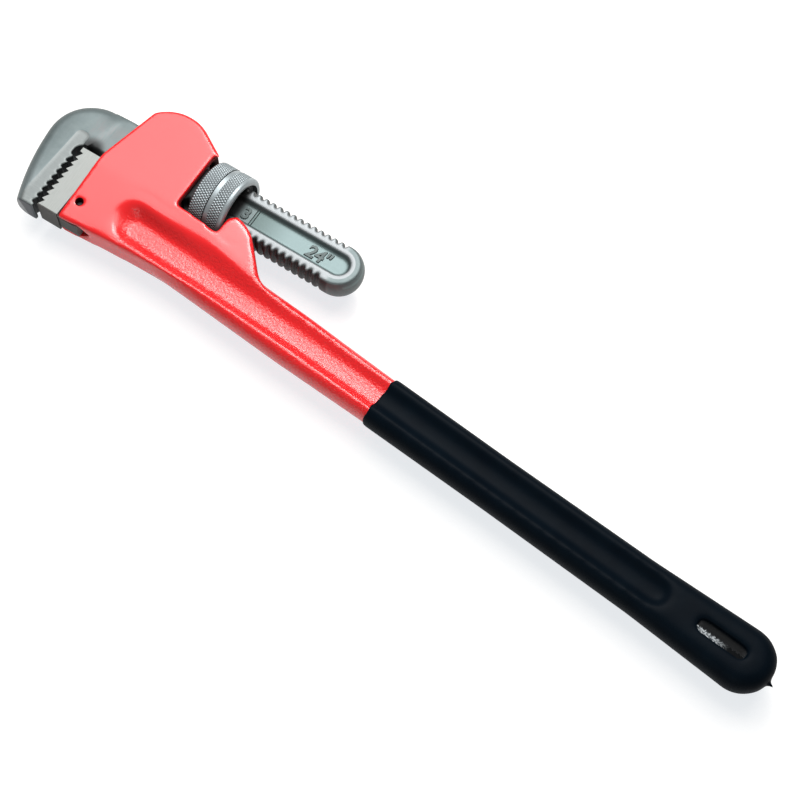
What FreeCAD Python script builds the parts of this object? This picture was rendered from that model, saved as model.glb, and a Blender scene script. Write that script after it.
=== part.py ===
"""Heavy straight pipe wrench, 600 mm class, as a parametric FreeCAD document in millimetres.

Working frame: the shank's axis is the X axis and runs from the jaws (-X) to the handle end (+X).
+Y is the back of the head, away from the handle, and the mid-plane of the wrench is Z = 0.
X = 0 is the middle of the adjusting nut's window. The finished pieces are then placed together so
that the wrench lies on Z = 0 with the origin at the bottom centre of its box.
"""
import FreeCAD
import Part
import Sketcher
import math
import os
from types import SimpleNamespace

from FreeCAD import Placement, Rotation, Vector

SIZES = {
    # hook jaw: shank and its thread
    "shank_radius": 17.5,
    "shank_flat": 18.5,
    "shank_end": 114.5,
    "shank_start": 95.5,
    "thread_pitch": 5.5,
    "thread_depth": 2.6,
    "thread_crest": 1.6,
    "thread_root": 1.0,
    "thread_front": 20.0,
    "thread_back": 96.0,
    "thread_clearance": 0.35,
    "thread_phase": -0.75,
    "panel_mouth": 8.4,
    "panel_floor": 6.6,
    "panel_depth": 4.0,
    "panel_front": 2.0,
    # hook jaw: head
    "hook_thickness": 20.0,
    "hook_back": 128.45,
    "hook_back_drop": 17.63,
    "hook_top": 17.0,
    "hook_top_front": 97.0,
    "hook_crown_radius": 31.6,
    "hook_back_radius": 186.0,
    "hook_tip_back": 113.6,
    "hook_tip_drop": 74.6,
    "hook_round": 8.0,
    "hook_neck_low": 95.0,
    "hook_neck_high": 86.0,
    "throat_radius": 6.5,
    "throat_set_back": 2.6,
    "pad_width": 6.0,
    "pad_step": 0.4,
    "pad_top": 8.9,
    "pad_nose": 3.6,
    "pad_lean": 3.0,
    # jaw teeth
    "jaw_gap": 2.4,
    "tooth_pitch": 5.35,
    "tooth_depth": 2.8,
    "tooth_bite": 0.65,
    "tooth_count": 9,
    "hook_tooth_land": 2.95,
    "heel_front": 97.1,
    "heel_top": 19.6,
    "heel_foot": 71.5,
    "heel_land": 3.5,
    "tongue_thickness": 12.0,
    "tongue_length": 15.7,
    "tongue_top": 34.4,
    "pin_radius": 2.25,
    "pin_x": 73.4,
    "pin_drop": 55.6,
    "pin_length": 16.0,
    "pin_clearance": 0.05,
    "slot_clearance": 0.15,
    "slot_point": 57.0,
    # adjusting nut and its window
    "nut_radius": 25.0,
    "nut_front": 9.4,
    "nut_back": 17.3,
    "nut_chamfer": 1.0,
    "nut_round": 2.6,
    "nut_ease": 0.8,
    "nut_strip_front": 2.2,
    "nut_strip_back": 5.4,
    "nut_strip_step": 0.6,
    "nut_recess": 3.0,
    "nut_recess_radius": 19.5,
    "window_front": 16.3,
    "window_back": 17.8,
    "window_floor_front": 23.0,
    "window_floor_back": 26.0,
    "nut_clearance": 1.0,
    # head of the handle casting
    "collar_thickness": 32.0,
    "heel_thickness": 19.5,
    "face_break_y": 26.0,
    "face_break_x": 5.0,
    "bar_thickness": 22.0,
    "bar_face_x": 75.0,
    "head_face": 81.2,
    "head_foot": 71.5,
    "head_sole": 67.3,
    "head_sole_radius": 1000.0,
    "sole_turn": 20.0,
    "sole_run_out": 95.0,
    "throat": 18.5,
    "collar_front": 70.5,
    "collar_front_rise": 26.8,
    "collar_radius": 31.5,
    "collar_back": 31.2,
    "collar_back_rise": 33.2,
    "lip_reach": 9.4,
    "lip_rise": 20.4,
    "window_top": 16.7,
    "horn_top": 8.4,
    "horn_brow": 4.6,
    "horn_cheek": 39.0,
    "horn_cheek_drop": 15.4,
    "horn_cheek_radius": 30.0,
    "horn_heel": 57.0,
    "horn_heel_drop": 34.8,
    "horn_root": 80.0,
    "horn_root_drop": 41.0,
    "horn_root_radius": 26.0,
    "head_round": 2.2,
    "tunnel_clearance": 0.75,
    "rock_clearance": 1.4,
    "tunnel_roof_flare": 5.4,
    "cheek_slot_drop": 4.4,
    "rock_reach": 75.0,
    # bar of the handle
    "bar_start": 20.0,
    "bar_drop": 50.3,
    "bar_slope": 0.0862,
    "bar_shoulder": 99.3,
    "bar_neck": 170.0,
    "bar_waist": 265.0,
    "bar_flare": 375.0,
    "bar_end": 449.5,
    "bar_half_shoulder": 18.4,
    "bar_half_neck": 16.9,
    "bar_half_waist": 16.4,
    "bar_half_flare": 16.9,
    "bar_half_end": 19.6,
    "bar_round": 9.0,
    "channel_floor": 6.0,
    "channel_mouth": 17.5,
    "channel_start": 25.2,
    "channel_mouth_start": 45.0,
    "channel_bend": 100.0,
    "channel_end": 385.0,
    "channel_half_head": 6.7,
    "channel_half_bend": 5.9,
    "channel_half_bar": 6.3,
    "channel_flare_head": 13.1,
    "channel_flare_bend": 14.6,
    "channel_sink": 3.2,
    "channel_mouth_rise": 0.5,
    "channel_bend_rise": 3.3,
    "channel_flare_bar": 13.0,
    "hang_middle": 433.5,
    "hang_length": 40.0,
    "hang_width": 12.0,
    # vinyl grip
    "grip_wall": 1.4,
    "grip_start": 168.0,
    "grip_lip_slant": 5.0,
    "grip_slot_width": 7.6,
    "grip_slot_length": 35.0,
    "drip_radius": 2.6,
    "drip_point": 0.6,
    "drip_length": 5.5,
    "drip_turn": 12.0,
    # springs in the collar
    "flat_spring_front": 74.0,
    "flat_spring_back": 26.0,
    "flat_spring_gauge": 0.9,
    "flat_spring_width": 11.0,
    "flat_spring_seat": 20.1,
    "flat_spring_bow": 1.1,
    "spring_relief": 0.4,
    "spring_x": 50.0,
    "spring_pocket": 6.5,
    "spring_pocket_floor": 28.8,
    "spring_wire": 1.4,
    "spring_radius": 4.8,
    "spring_pitch": 2.9,
    "spring_gap": 0.3,
}


class Dim:
    """A length that carries its number and the sheet expression that it comes from."""

    def __init__(self, number, text):
        self.number = number
        self.text = text

    def __add__(self, other):
        return Dim(self.number + dim(other).number, f"({self.text} + {dim(other).text})")

    def __sub__(self, other):
        return Dim(self.number - dim(other).number, f"({self.text} - {dim(other).text})")

    def __mul__(self, other):
        return Dim(self.number * dim(other).number, f"({self.text} * {dim(other).text})")

    def __truediv__(self, other):
        return Dim(self.number / dim(other).number, f"({self.text} / {dim(other).text})")

    def __neg__(self):
        return Dim(-self.number, f"(0 - {self.text})")

    __radd__ = __add__
    __rmul__ = __mul__


def dim(value):
    """A plain number as a Dim, or the Dim itself."""
    return value if isinstance(value, Dim) else Dim(float(value), repr(value))


def square_root(value):
    return Dim(math.sqrt(value.number), f"sqrt({value.text})")


document = FreeCAD.newDocument("pipe_wrench")
sheet = document.addObject("Spreadsheet::Sheet", "sizes")
for row, (alias, number) in enumerate(SIZES.items(), 1):
    sheet.set(f"A{row}", alias)
    sheet.set(f"B{row}", str(number))
    sheet.setAlias(f"B{row}", alias)
document.recompute()
size = SimpleNamespace(**{alias: Dim(float(sheet.get(alias)), "sizes." + alias) for alias in SIZES})


# ---------------------------------------------------------------- drawing helpers

def origin_part(body, role):
    """The body's own origin plane or axis of that role, such as XY_Plane."""
    return next(item for item in body.Origin.OriginFeatures if item.Role == role)


def new_sketch(body, name, plane, shift=(0, 0, 0)):
    """An empty sketch on one of the body's origin planes, shifted in the plane's own axes."""
    sketch = body.newObject("Sketcher::SketchObject", name)
    sketch.AttachmentSupport = [(origin_part(body, plane), "")]
    sketch.MapMode = "FlatFace"
    for axis, offset in zip("xyz", shift):
        sketch.setExpression(f"AttachmentOffset.Base.{axis}", dim(offset).text)
    return sketch


def arc_between(start, end, radius):
    """Circle arc from start to end. A positive radius turns left, a negative one turns right."""
    chord = end - start
    half = chord.Length / 2
    rise = math.sqrt(max(radius * radius - half * half, 0.0))
    left = Vector(-chord.y, chord.x, 0).normalize()
    centre = start + chord * 0.5 + left * (rise if radius > 0 else -rise)
    first, last = (start, end) if radius > 0 else (end, start)
    angles = [math.atan2(point.y - centre.y, point.x - centre.x) for point in (first, last)]
    return Part.ArcOfCircle(Part.Circle(centre, Vector(0, 0, 1), abs(radius)), angles[0], angles[1])


def add_outline(sketch, corners):
    """Closed outline. Each corner is (x, y), or (x, y, radius) where an arc leads to the next."""
    corners = [tuple(dim(value) for value in corner) for corner in corners]
    points = [Vector(corner[0].number, corner[1].number, 0) for corner in corners]
    first = sketch.GeometryCount
    ends = []
    for index, corner in enumerate(corners):
        start, end = points[index], points[(index + 1) % len(points)]
        if len(corner) == 2:
            sketch.addGeometry(Part.LineSegment(start, end))
            ends.append((1, 2))
        else:
            sketch.addGeometry(arc_between(start, end, corner[2].number))
            ends.append((1, 2) if corner[2].number > 0 else (2, 1))
    for index, corner in enumerate(corners):
        edge = first + index
        before = first + (index - 1) % len(corners)
        start = ends[index][0]
        sketch.addConstraint(Sketcher.Constraint(
            "Coincident", before, ends[index - 1][1], edge, start))
        for kind, value in (("DistanceX", corner[0]), ("DistanceY", corner[1])):
            number = sketch.addConstraint(Sketcher.Constraint(
                kind, -1, 1, edge, start, value.number))
            sketch.setExpression(f"Constraints[{number}]", value.text)
        if len(corner) == 3:
            number = sketch.addConstraint(Sketcher.Constraint(
                "Radius", edge, abs(corner[2].number)))
            sign = "" if corner[2].number > 0 else "-1 * "
            sketch.setExpression(f"Constraints[{number}]", sign + corner[2].text)
    return sketch


def add_circle(sketch, x, y, radius):
    """Circle about (x, y)."""
    x, y, radius = dim(x), dim(y), dim(radius)
    edge = sketch.addGeometry(Part.Circle(
        Vector(x.number, y.number, 0), Vector(0, 0, 1), radius.number))
    for kind, value in (("DistanceX", x), ("DistanceY", y)):
        number = sketch.addConstraint(Sketcher.Constraint(kind, -1, 1, edge, 3, value.number))
        sketch.setExpression(f"Constraints[{number}]", value.text)
    number = sketch.addConstraint(Sketcher.Constraint("Radius", edge, radius.number))
    sketch.setExpression(f"Constraints[{number}]", radius.text)
    return sketch


def rectangle(left, right, low, high):
    return [(left, low), (right, low), (right, high), (left, high)]


def long_hole(left, right):
    """Outline of a long hole. left and right are the (x, y, radius) of its two round ends."""
    (x_left, y_left, r_left), (x_right, y_right, r_right) = left, right
    return [
        (x_left, y_left - r_left), (x_right, y_right - r_right, r_right),
        (x_right + r_right, y_right, r_right), (x_right, y_right + r_right),
        (x_left, y_left + r_left, r_left), (x_left - r_left, y_left, r_left)]


def extrude(kind, sketch, name, length, symmetric=True, reverse=False):
    """Pad or Pocket of a sketch, by default half to each side of its plane."""
    body = sketch.getParentGeoFeatureGroup()
    feature = body.newObject("PartDesign::" + kind, name)
    feature.Profile = sketch
    feature.SideType = "Symmetric" if symmetric else "One side"
    feature.Reversed = reverse
    feature.setExpression("Length", dim(length).text)
    checked(feature)
    return feature


def checked(feature):
    """Recompute, and stop with the feature's name if it has failed."""
    document.recompute()
    if "Invalid" in feature.State or "Error" in feature.State or feature.Shape.isNull():
        raise RuntimeError(f"{feature.Name} failed: {feature.State} {feature.getStatusString()}")
    if not feature.Shape.isValid():
        raise RuntimeError(f"{feature.Name} gives a shape that is not valid")


def mirror(body, name, features, plane="XY_Plane"):
    """Mirror image of features in one of the body's origin planes."""
    pattern = body.newObject("PartDesign::Mirrored", name)
    pattern.Originals = features
    pattern.MirrorPlane = (origin_part(body, plane), [""])
    body.Tip = pattern
    checked(pattern)


def round_edges(body, name, radius, chosen):
    """Fillet on every edge of the body's last feature for which chosen(edge) holds."""
    base = body.Tip
    edges = [f"Edge{number}" for number, edge in enumerate(base.Shape.Edges, 1) if chosen(edge)]
    fillet = body.newObject("PartDesign::Fillet", name)
    fillet.Base = (base, edges)
    fillet.setExpression("Radius", dim(radius).text)
    checked(fillet)


def middle_of(edge):
    return edge.valueAt((edge.FirstParameter + edge.LastParameter) / 2)


# ---------------------------------------------------------------- handle casting

half_bar = size.bar_thickness / 2
half_collar = size.collar_thickness / 2
half_heel = size.heel_thickness / 2
half_flat = size.shank_flat / 2
tunnel_half = half_flat + size.tunnel_clearance
tunnel_reach = size.shank_radius + size.tunnel_clearance
slot_half = size.tongue_thickness / 2 + size.slot_clearance


def bar_middle(station):
    """Y of the bar's centre line at a station along X."""
    return -(size.bar_drop + size.bar_slope * station)


def head_outline():
    """Edge of the head: heel, sole, root of the bar, horn, window, collar and throat."""
    return [
        (-size.head_face, -size.head_foot, -size.head_sole_radius),
        (size.sole_turn, -size.head_sole),
        (size.sole_run_out, -size.head_sole - 1),
        (size.horn_root, -size.horn_root_drop, -size.horn_root_radius),
        (size.horn_heel, -size.horn_heel_drop),
        (size.horn_cheek, -size.horn_cheek_drop, size.horn_cheek_radius),
        (size.window_back + size.horn_brow, -size.horn_top),
        (size.window_back, -size.horn_top - size.horn_brow),
        (size.window_back, -size.window_floor_back),
        (-size.window_front, -size.window_floor_front),
        (-size.window_front, size.window_top),
        (-size.lip_reach, size.lip_rise),
        (-size.collar_back, size.collar_back_rise, size.collar_radius),
        (-size.collar_front, size.collar_front_rise),
        (-size.head_face, -size.throat),
    ]


def add_head(body):
    """Flat block of the head, thinned towards the sole and towards the bar."""
    extrude("Pad", add_outline(new_sketch(body, "head_outline", "XY_Plane"), head_outline()),
            "head_block", size.collar_thickness)
    far = dim(200)
    lean = new_sketch(body, "sole_lean", "YZ_Plane")
    slope = new_sketch(body, "bar_lean", "XZ_Plane")
    for side in (1, -1):
        add_outline(lean, [
            (-size.face_break_y, half_collar * side), (-size.head_foot, half_heel * side),
            (-far, half_heel * side), (-far, far * side), (-size.face_break_y, far * side)])
        add_outline(slope, [
            (size.face_break_x, half_collar * side), (size.bar_face_x, half_bar * side),
            (far, half_bar * side), (far, far * side), (size.face_break_x, far * side)])
    extrude("Pocket", lean, "sole_faces", far * 2)
    extrude("Pocket", slope, "bar_faces", far * 2)


def is_head_rim(edge):
    """Edges of the head's two broad faces, but not those inside the window or in the bar."""
    point = middle_of(edge)
    broad = abs(point.z) > half_bar.number + 0.2
    upright = edge.BoundBox.ZLength > half_bar.number
    ridge = abs(point.y + size.face_break_y.number) < 0.5
    ridge = ridge or abs(point.x - size.face_break_x.number) < 0.5
    window = -size.window_front.number - 1 < point.x < size.window_back.number + 0.5
    window = window and point.y > -size.window_floor_back.number - 1
    sunk = point.y < -size.horn_root_drop.number and point.x > 20
    inside = -size.collar_front.number < point.x < 0 and -60 < point.y < size.lip_rise.number - 3
    return broad and not (upright or ridge or window or sunk or inside)


def add_bar(body):
    """Bar of the handle: a loft through round-edged sections, closed by a round end."""
    stations = [
        (-size.bar_start, size.bar_half_shoulder),
        (size.bar_shoulder, size.bar_half_shoulder),
        (size.bar_neck, size.bar_half_neck),
        (size.bar_waist, size.bar_half_waist),
        (size.bar_flare, size.bar_half_flare),
        (size.bar_end, size.bar_half_end),
    ]
    loft_bar(body, "bar", stations, half_bar, size.bar_round)


def loft_bar(body, name, stations, half_thickness, corner):
    """Bar through (station, half width) sections, with a round end at the last one."""
    sections = []
    for number, (station, half_width) in enumerate(stations):
        sketch = new_sketch(body, f"{name}_section_{number}", "YZ_Plane", (0, 0, station))
        middle = bar_middle(station)
        inner, flat = half_width - corner, half_thickness - corner
        sections.append(add_outline(sketch, [
            (middle - inner, -half_thickness), (middle + inner, -half_thickness, corner),
            (middle + half_width, -flat), (middle + half_width, flat, corner),
            (middle + inner, half_thickness), (middle - inner, half_thickness, corner),
            (middle - half_width, flat), (middle - half_width, -flat, corner)]))
    loft = body.newObject("PartDesign::AdditiveLoft", name + "_loft")
    loft.Profile = sections[0]
    loft.Sections = sections[1:]
    loft.Ruled = True
    checked(loft)
    station, half_width = stations[-1]
    sketch = new_sketch(body, name + "_end_profile", "XZ_Plane", (station, 0, -bar_middle(station)))
    inner, flat = half_width - corner, half_thickness - corner
    add_outline(sketch, [
        (dim(0), -half_thickness), (inner, -half_thickness, corner), (half_width, -flat),
        (half_width, flat, corner), (inner, half_thickness), (dim(0), half_thickness)])
    end = body.newObject("PartDesign::Revolution", name + "_end")
    end.Profile = sketch
    end.ReferenceAxis = (sketch, ["V_Axis"])
    end.Angle = 360
    checked(end)


def bent_hole(left, bend, right):
    """Outline of a long hole with a bend and eight-sided ends.

    Each station is (x, shift off the bar's middle, half width).
    """
    (x_left, y_left, r_left), (x_bend, y_bend, r_bend), (x_right, y_right, r_right) = [
        (station, bar_middle(station) + shift, half) for station, shift, half in (left, bend, right)]
    d_left, d_right = r_left * math.sqrt(0.5), r_right * math.sqrt(0.5)
    return [
        (x_left, y_left - r_left), (x_bend, y_bend - r_bend), (x_right, y_right - r_right),
        (x_right + d_right, y_right - d_right), (x_right + r_right, y_right),
        (x_right + d_right, y_right + d_right), (x_right, y_right + r_right),
        (x_bend, y_bend + r_bend), (x_left, y_left + r_left),
        (x_left - d_left, y_left + d_left), (x_left - r_left, y_left),
        (x_left - d_left, y_left - d_left)]


def cut_channel(body, name, cover):
    """Long hollow in both faces of the bar, with sloping walls. cover is a coating over it."""
    head, bend, bar = size.channel_half_head, size.channel_half_bend, size.channel_half_bar
    floor = [(-size.channel_start, -size.channel_sink, head), (size.channel_bend, dim(0), bend),
             (size.channel_end, dim(0), bar)]
    mouth = [(-size.channel_mouth_start, size.channel_mouth_rise - size.channel_sink,
              head + size.channel_flare_head),
             (size.channel_bend, size.channel_bend_rise, bend + size.channel_flare_bend),
             (size.channel_end, dim(0), bar + size.channel_flare_bar)]
    levels = []
    for level, height, stations in (
            ("floor", size.channel_floor, floor), ("mouth", size.channel_mouth, mouth)):
        sketch = new_sketch(body, f"{name}_{level}", "XY_Plane", (0, 0, height + cover))
        levels.append(add_outline(sketch, bent_hole(
            *[(station, shift, half - cover) for station, shift, half in stations])))
    hollow = body.newObject("PartDesign::SubtractiveLoft", name + "_hollow")
    hollow.Profile = levels[0]
    hollow.Sections = levels[1:]
    hollow.Ruled = True
    checked(hollow)
    mirror(body, name + "_far_side", [hollow])


def cut_shank_way(body):
    """Way for the shank: a tunnel through the collar, and a slot between the horn's cheeks.

    The jaw rocks about the nut, so the tunnel's roof rises towards the jaws and the slot's floor
    falls towards the handle.
    """
    far = dim(200)
    collar = size.head_face + 8
    rocked = size.shank_radius + size.rock_clearance
    way = new_sketch(body, "shank_way", "XY_Plane")
    add_outline(way, [
        (-collar, -tunnel_reach), (-size.window_front + 1, -tunnel_reach),
        (-size.window_front + 1, rocked), (-collar, tunnel_reach + size.tunnel_roof_flare)])
    add_outline(way, [
        (size.window_back - 1, -rocked), (size.rock_reach, -(tunnel_reach + size.cheek_slot_drop)),
        (far, -(tunnel_reach + size.cheek_slot_drop)), (far, far), (size.window_back - 1, far)])
    extrude("Pocket", way, "shank_tunnel", tunnel_half * 2)
    scoop = add_circle(new_sketch(body, "nut_scoop_profile", "YZ_Plane", (0, 0, -size.window_front)),
                       0, 0, size.nut_radius + size.nut_clearance)
    extrude("Pocket", scoop, "nut_scoop", size.window_front + size.window_back, symmetric=False,
            reverse=True)


def cut_seats(body):
    """Seats of the heel jaw, its pin and the two springs, and the slot to hang the wrench by."""
    slot = new_sketch(body, "tongue_slot_profile", "XZ_Plane", (0, 0, size.tongue_top - 0.3))
    root = size.slot_point + slot_half + 2
    add_outline(slot, [
        (-size.head_face - 5, -slot_half), (-root, -slot_half), (-size.slot_point, dim(0)),
        (-root, slot_half), (-size.head_face - 5, slot_half)])
    extrude("Pocket", slot, "tongue_slot", 60, symmetric=False, reverse=True)
    pin = add_circle(new_sketch(body, "pin_hole_profile", "XY_Plane"),
                     -size.pin_x, -size.pin_drop, size.pin_radius + size.pin_clearance)
    extrude("Pocket", pin, "pin_hole", size.collar_thickness * 2)
    relief = new_sketch(body, "flat_spring_seat_outline", "XY_Plane")
    add_outline(relief, rectangle(
        -size.flat_spring_front - 3, -size.flat_spring_back + 3,
        -size.flat_spring_seat - size.spring_relief, -size.shank_radius))
    extrude("Pocket", relief, "flat_spring_seat", size.flat_spring_width + 2)
    pocket = add_circle(new_sketch(body, "spring_pocket_profile", "XZ_Plane", (0, 0, size.shank_radius)),
                        -size.spring_x, 0, size.spring_pocket)
    extrude("Pocket", pocket, "spring_pocket", size.spring_pocket_floor - size.shank_radius,
            symmetric=False, reverse=True)
    cut_hang_slot(body, size.hang_length, size.hang_width)


def cut_hang_slot(body, length, width):
    half = length / 2 - width / 2
    sketch = new_sketch(body, "hang_slot_outline", "XY_Plane")
    left, right = size.hang_middle - half, size.hang_middle + half
    add_outline(sketch, long_hole(
        (left, bar_middle(left), width / 2), (right, bar_middle(right), width / 2)))
    extrude("Pocket", sketch, "hang_slot", size.collar_thickness * 2)


def make_handle_casting():
    """Ductile iron casting in one piece: head with collar, window and horn, and I-section bar."""
    body = document.addObject("PartDesign::Body", "handle_casting")
    add_head(body)
    round_edges(body, "head_rounding", size.head_round, is_head_rim)
    add_bar(body)
    cut_channel(body, "channel", dim(0))
    cut_shank_way(body)
    cut_seats(body)
    return body


# ---------------------------------------------------------------- vinyl grip

def make_grip_blank():
    """Outside of the grip: the bar's form grown by the vinyl's wall, with the drip at its end."""
    body = document.addObject("PartDesign::Body", "grip_blank")
    wall = size.grip_wall
    stations = [
        (size.grip_start, size.bar_half_neck + wall),
        (size.bar_waist, size.bar_half_waist + wall),
        (size.bar_flare, size.bar_half_flare + wall),
        (size.bar_end, size.bar_half_end + wall),
    ]
    loft_bar(body, "grip", stations, half_bar + wall, size.bar_round + wall)
    cut_channel(body, "grip_channel", wall)
    lip = new_sketch(body, "lip_outline", "XY_Plane")
    low, high = bar_middle(size.grip_start) - 25, bar_middle(size.grip_start) + 25
    add_outline(lip, [(size.grip_start - 5, low), (size.grip_start, low),
                      (size.grip_start + size.grip_lip_slant, high), (size.grip_start - 5, high)])
    extrude("Pocket", lip, "slanted_lip", size.collar_thickness * 2)
    cut_hang_slot(body, size.grip_slot_length, size.grip_slot_width)
    reach = size.bar_half_end + wall
    drip = body.newObject("PartDesign::AdditiveCone", "drip")
    drip.setExpression("Radius1", size.drip_radius.text)
    drip.setExpression("Radius2", size.drip_point.text)
    drip.setExpression("Height", size.drip_length.text)
    turn = math.radians(size.drip_turn.number)
    out = reach.number - 1.5
    drip.AttachmentSupport = [(origin_part(body, "XY_Plane"), "")]
    drip.MapMode = "FlatFace"
    drip.AttachmentOffset = Placement(
        Vector(size.bar_end.number + out * math.cos(turn),
               bar_middle(size.bar_end).number - out * math.sin(turn), 0),
        Rotation(Vector(0, 0, 1), -size.drip_turn.number) * Rotation(Vector(0, 1, 0), 90))
    checked(drip)
    return body


def make_grip_sleeve(blank, casting):
    """Dipped vinyl sleeve: the skin that is left when the casting is taken out of the blank."""
    sleeve = document.addObject("Part::Cut", "grip_sleeve")
    sleeve.Base = blank
    sleeve.Tool = casting
    checked(sleeve)
    return sleeve


# ---------------------------------------------------------------- heel jaw and its pin

def cut_teeth(body, name, tip, top, count, way):
    """Row of saw teeth down the Y axis. way is +1 where the jaw's body lies on the +X side."""
    notch = new_sketch(body, name + "_notch", "XY_Plane")
    over = dim(0.5 * way)
    depth = size.tooth_depth * way
    if way > 0:
        corners = [(tip - over, top), (tip, top), (tip + depth, top - size.tooth_bite),
                   (tip, top - size.tooth_pitch), (tip - over, top - size.tooth_pitch)]
    else:
        low = top - size.tooth_pitch
        corners = [(tip - over, low), (tip, low), (tip + depth, low + size.tooth_bite),
                   (tip, top), (tip - over, top)]
    add_outline(notch, corners)
    first = extrude("Pocket", notch, name + "_first", size.hook_thickness * 2)
    row = body.newObject("PartDesign::LinearPattern", name + "_row")
    row.Originals = [first]
    row.Direction = (notch, ["V_Axis"])
    row.Reversed = True
    row.setExpression("Length", (size.tooth_pitch * (count - 1)).text)
    row.setExpression("Occurrences", count.text)
    body.Tip = row
    checked(row)


def make_heel_jaw():
    """Hardened heel jaw: a toothed block against the head, its tongue pinned in the head's slot."""
    body = document.addObject("PartDesign::Body", "heel_jaw")
    block = new_sketch(body, "block_outline", "XY_Plane")
    add_outline(block, rectangle(-size.heel_front, -size.head_face, -size.heel_foot, -size.heel_top))
    extrude("Pad", block, "block", size.hook_thickness)
    tongue = new_sketch(body, "tongue_outline", "XY_Plane")
    add_outline(tongue, rectangle(-size.head_face - 2, -size.head_face + size.tongue_length,
                                  -size.heel_foot + 0.8, -size.tongue_top))
    extrude("Pad", tongue, "tongue", size.tongue_thickness)
    cut_teeth(body, "heel_teeth", -size.heel_front, -size.heel_top - size.heel_land,
              size.tooth_count, 1)
    pin = add_circle(new_sketch(body, "pin_hole_profile", "XY_Plane"),
                     -size.pin_x, -size.pin_drop, size.pin_radius + size.pin_clearance)
    extrude("Pocket", pin, "pin_hole", size.hook_thickness * 2)
    return body


def make_heel_pin():
    """Drive pin that holds the heel jaw's tongue in the head."""
    body = document.addObject("PartDesign::Body", "heel_jaw_pin")
    section = add_circle(new_sketch(body, "pin_section", "XY_Plane"),
                         -size.pin_x, -size.pin_drop, size.pin_radius)
    extrude("Pad", section, "pin", size.pin_length)
    return body


# ---------------------------------------------------------------- hook jaw

hook_front = size.heel_front + size.jaw_gap
dome_middle = size.shank_end - size.shank_radius


def hook_outline():
    """Hook head seen from the side: tooth line, throat, neck, crown, back and tip."""
    root = hook_front + size.throat_set_back
    return [
        (-hook_front, -size.hook_tip_drop),
        (-hook_front, -size.heel_top - size.throat_radius - 2),
        (-root, -size.heel_top - size.throat_radius - 1),
        (-root, -size.shank_radius - size.throat_radius, -size.throat_radius),
        (-root + size.throat_radius, -size.shank_radius),
        (-size.hook_neck_low, -size.shank_radius),
        (-size.hook_neck_high, size.hook_top),
        (-size.hook_top_front, size.hook_top, size.hook_crown_radius),
        (-size.hook_back, -size.hook_back_drop, size.hook_back_radius),
        (-size.hook_tip_back, -size.hook_tip_drop),
    ]


def is_hook_back(edge):
    """Edges along the crown and the back of the hook head."""
    point = middle_of(edge)
    broad = abs(abs(point.z) - size.hook_thickness.number / 2) < 0.01
    behind = point.x < -hook_front.number - 8 and edge.Length > 20
    over = point.y > size.hook_top.number - 1
    return broad and (behind or over)


def add_hook_head(body):
    head = add_outline(new_sketch(body, "hook_outline", "XY_Plane"), hook_outline())
    extrude("Pad", head, "hook_head", size.hook_thickness)
    round_edges(body, "hook_rounding", size.hook_round, is_hook_back)
    machined = new_sketch(body, "machined_pad", "XY_Plane", (0, 0, size.hook_thickness / 2 + 1))
    left = -(hook_front + size.throat_set_back + size.pad_width)
    right, nose, low = -hook_front + 1, size.pad_nose, -size.hook_tip_drop - 1
    add_outline(machined, [
        (right, low), (right, -size.pad_top - nose, nose), (right - nose, -size.pad_top),
        (left + nose, -size.pad_top, nose), (left, -size.pad_top - nose),
        (left - size.pad_lean, low)])
    step = extrude("Pocket", machined, "pad_step", size.pad_step + 1, symmetric=False)
    mirror(body, "pad_far_side", [step])


def add_shank(body):
    """Shank: a round bar with two flats, a domed end, and a sunk panel in each flat."""
    radius = size.shank_radius
    chord = square_root(radius * radius - half_flat * half_flat)
    section = new_sketch(body, "shank_section", "YZ_Plane", (0, 0, -size.shank_start))
    add_outline(section, [(-chord, -half_flat), (chord, -half_flat, radius),
                          (chord, half_flat), (-chord, half_flat, radius)])
    extrude("Pad", section, "shank", size.shank_start + dome_middle, symmetric=False)
    dome = new_sketch(body, "dome_profile", "XY_Plane", (dome_middle, 0, 0))
    add_outline(dome, [(dim(0), dim(0)), (radius, dim(0), radius), (dim(0), radius)])
    end = body.newObject("PartDesign::Revolution", "dome")
    end.Profile = dome
    end.ReferenceAxis = (dome, ["H_Axis"])
    end.Angle = 360
    checked(end)
    flats = new_sketch(body, "dome_flats", "XZ_Plane", (dome_middle, 0, 0))
    for side in (1, -1):
        low, high = (half_flat, half_flat + 20) if side > 0 else (-half_flat - 20, -half_flat)
        add_outline(flats, rectangle(-radius - 2, radius + 5, low, high))
    extrude("Pocket", flats, "dome_flat_cut", radius * 4)
    levels = []
    for level, height, half in (
            ("floor", half_flat - size.panel_depth, size.panel_floor),
            ("mouth", half_flat + 0.01, size.panel_mouth)):
        sketch = new_sketch(body, "panel_" + level, "XY_Plane", (0, 0, height))
        levels.append(add_outline(sketch, long_hole(
            (size.panel_front, dim(0), half), (dome_middle, dim(0), half))))
    hollow = body.newObject("PartDesign::SubtractiveLoft", "panel")
    hollow.Profile = levels[0]
    hollow.Sections = levels[1:]
    hollow.Ruled = True
    checked(hollow)
    mirror(body, "panel_far_side", [hollow])


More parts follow.
